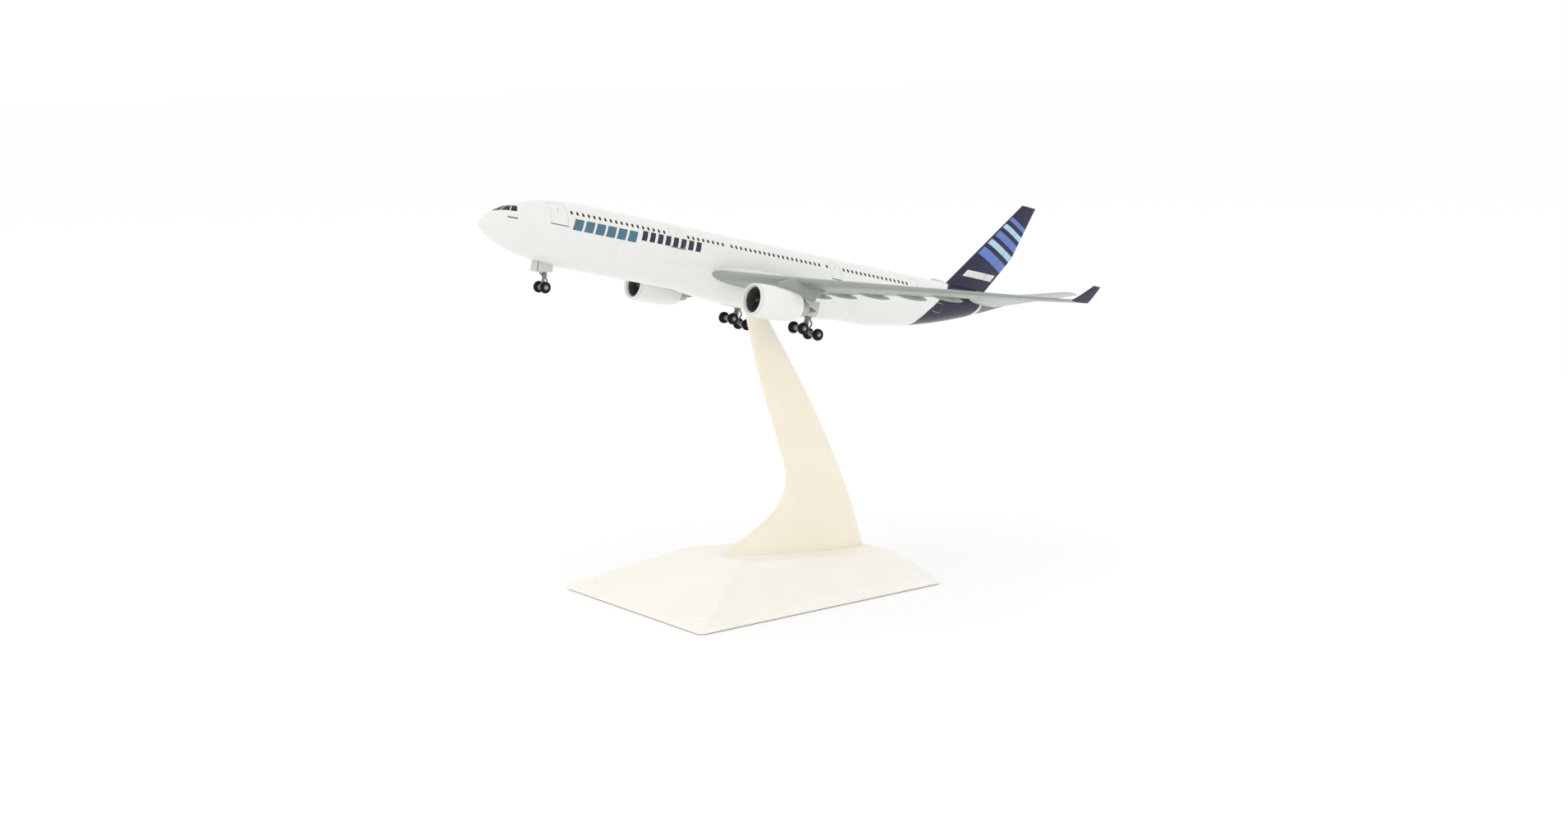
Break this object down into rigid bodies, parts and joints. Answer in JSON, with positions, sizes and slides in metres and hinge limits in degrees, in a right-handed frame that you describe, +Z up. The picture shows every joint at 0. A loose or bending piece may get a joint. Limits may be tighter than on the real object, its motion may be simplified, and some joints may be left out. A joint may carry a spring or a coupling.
{
  "type": "desktop airliner model",
  "caption": "Wide-body twin-engine airliner model with landing gear down, nose up on a swept blade stand with a wedge base.",
  "frame": {"origin": "on the desk, under the centre of the whole model", "axes": "+Z up, nose towards -Y, the aircraft's left wing towards +X"},
  "size_m": [0.3024, 0.3198, 0.1848],
  "materials": {
    "white_paint": "gloss",
    "wing_grey": "satin",
    "navy_paint": "gloss",
    "plum_paint": "gloss",
    "dark_grey_paint": "satin",
    "engine_metal": "satin metallic",
    "fan_grey": "satin",
    "gear_grey": "satin",
    "tyre_rubber": "matt",
    "steel": "bright",
    "stand_plastic": "gloss",
    "foot_rubber": "matt"
  },
  "bodies": {
    "stand": {"stand_base": "stand_plastic", "stand_blade": "stand_plastic", "blade_screw_front": "steel", "blade_screw_rear": "steel", "foot_front_left": "foot_rubber", "foot_front_right": "foot_rubber", "foot_rear_left": "foot_rubber", "foot_rear_right": "foot_rubber"},
    "aircraft": {"belly_fairing": "white_paint", "tail_cone": "dark_grey_paint", "fin": "navy_paint", "nose_gear_leg": "gear_grey", "fuselage_left": "white_paint", "wing_left": "wing_grey", "winglet_left": "plum_paint", "tailplane_left": "wing_grey", "nose_gear_door_left": "white_paint", "main_gear_leg_left": "gear_grey", "main_gear_door_left": "white_paint", "engine_cowl_left": "white_paint", "engine_core_left": "engine_metal", "exhaust_plug_left": "dark_grey_paint", "engine_strut_left": "wing_grey", "fuselage_right": "white_paint", "wing_right": "wing_grey", "winglet_right": "plum_paint", "tailplane_right": "wing_grey", "nose_gear_door_right": "white_paint", "main_gear_leg_right": "gear_grey", "main_gear_door_right": "white_paint", "engine_cowl_right": "white_paint", "engine_core_right": "engine_metal", "exhaust_plug_right": "dark_grey_paint", "engine_strut_right": "wing_grey"},
    "nose_wheels": {"nose_axle": "steel", "nose_wheel_left": "tyre_rubber", "nose_wheel_right": "tyre_rubber"},
    "left_front_main_wheels": {"main_left_front_axle": "steel", "main_left_front_wheel_outer": "tyre_rubber", "main_left_front_wheel_inner": "tyre_rubber"},
    "left_rear_main_wheels": {"main_left_rear_axle": "steel", "main_left_rear_wheel_outer": "tyre_rubber", "main_left_rear_wheel_inner": "tyre_rubber"},
    "left_fan": {"fan_left": "fan_grey"},
    "right_front_main_wheels": {"main_right_front_axle": "steel", "main_right_front_wheel_outer": "tyre_rubber", "main_right_front_wheel_inner": "tyre_rubber"},
    "right_rear_main_wheels": {"main_right_rear_axle": "steel", "main_right_rear_wheel_outer": "tyre_rubber", "main_right_rear_wheel_inner": "tyre_rubber"},
    "right_fan": {"fan_right": "fan_grey"}
  },
  "joints": [
    {"name": "aircraft_lift", "type": "slide", "parent": "stand", "child": "aircraft", "axis": [0, 0.2277, 0.9737], "range_m": [0, 0.02]},
    {"name": "nose_wheels_spin", "type": "hinge", "parent": "aircraft", "child": "nose_wheels", "pos_m": [0, -0.13092, 0.14815], "axis": [1, 0, 0], "continuous": true},
    {"name": "left_front_main_wheels_spin", "type": "hinge", "parent": "aircraft", "child": "left_front_main_wheels", "pos_m": [0.0266, -0.01443, 0.12295], "axis": [1, 0, 0], "continuous": true},
    {"name": "left_rear_main_wheels_spin", "type": "hinge", "parent": "aircraft", "child": "left_rear_main_wheels", "pos_m": [0.0266, -0.00615, 0.11941], "axis": [1, 0, 0], "continuous": true},
    {"name": "left_fan_spin", "type": "hinge", "parent": "aircraft", "child": "left_fan", "pos_m": [0.046, -0.05493, 0.14065], "axis": [0, 0.9737, -0.2277], "continuous": true},
    {"name": "right_front_main_wheels_spin", "type": "hinge", "parent": "aircraft", "child": "right_front_main_wheels", "pos_m": [-0.0266, -0.01443, 0.12295], "axis": [1, 0, 0], "continuous": true},
    {"name": "right_rear_main_wheels_spin", "type": "hinge", "parent": "aircraft", "child": "right_rear_main_wheels", "pos_m": [-0.0266, -0.00615, 0.11941], "axis": [1, 0, 0], "continuous": true},
    {"name": "right_fan_spin", "type": "hinge", "parent": "aircraft", "child": "right_fan", "pos_m": [-0.046, -0.05493, 0.14065], "axis": [0, 0.9737, -0.2277], "continuous": true}
  ]
}
